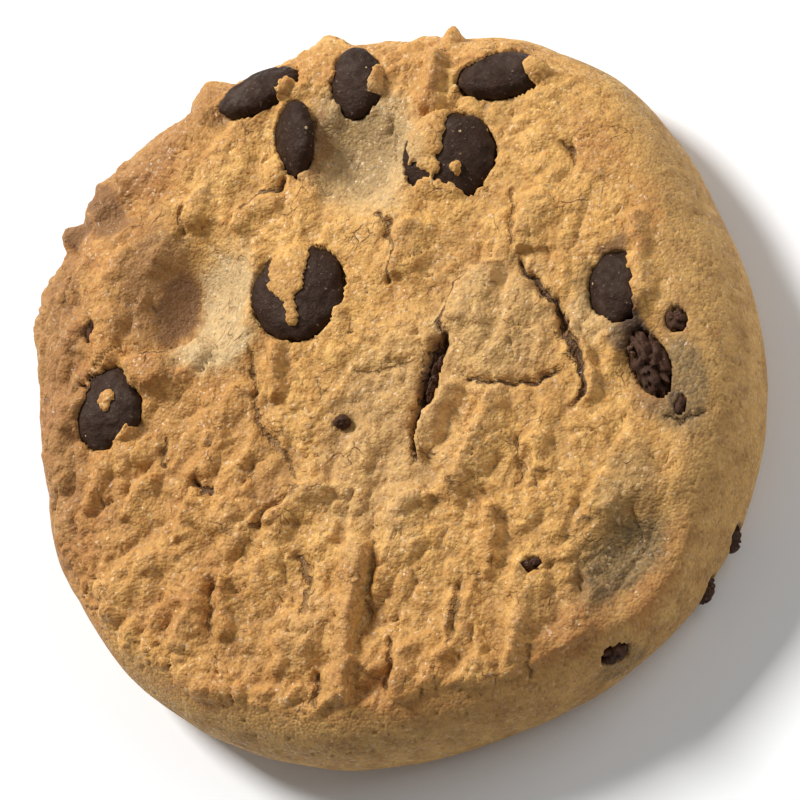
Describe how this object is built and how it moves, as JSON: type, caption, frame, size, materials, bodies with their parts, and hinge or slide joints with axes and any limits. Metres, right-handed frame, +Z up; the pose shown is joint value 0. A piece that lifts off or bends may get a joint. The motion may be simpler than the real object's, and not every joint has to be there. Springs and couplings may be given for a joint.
{
  "type": "chocolate chip cookie",
  "caption": "Round baked cookie with a rounded wall, a flat underside, a crackled sandy top with sunken hollows, and dark chocolate chips set in its top, wall and base.",
  "frame": {"origin": "middle of the flat underside, at the centre of the cookie's box", "axes": "+Z up through the thickness, +Y toward the cluster of chips at the rim, +X to the side with the crushed chip"},
  "size_m": [0.0748, 0.0738, 0.0145],
  "materials": {
    "baked_dough": "matte",
    "dark_chocolate": "satin"
  },
  "bodies": {
    "root": {"dough": "baked_dough", "top_chip_01": "dark_chocolate", "top_chip_02": "dark_chocolate", "top_chip_03": "dark_chocolate", "top_chip_04": "dark_chocolate", "top_chip_05": "dark_chocolate", "top_chip_06": "dark_chocolate", "top_chip_07": "dark_chocolate", "top_chip_08": "dark_chocolate", "wall_chip_01": "dark_chocolate", "wall_chip_02": "dark_chocolate", "wall_chip_03": "dark_chocolate", "wall_chip_04": "dark_chocolate", "base_chip_01": "dark_chocolate", "base_chip_02": "dark_chocolate", "base_chip_03": "dark_chocolate", "base_chip_04": "dark_chocolate", "top_shard_01": "dark_chocolate", "top_shard_02": "dark_chocolate", "top_shard_03": "dark_chocolate", "top_shard_04": "dark_chocolate", "top_shard_05": "dark_chocolate", "top_shard_06": "dark_chocolate", "top_shard_07": "dark_chocolate", "wall_shard_01": "dark_chocolate", "wall_shard_02": "dark_chocolate", "wall_shard_03": "dark_chocolate", "crushed_chip": "dark_chocolate"}
  },
  "joints": []
}
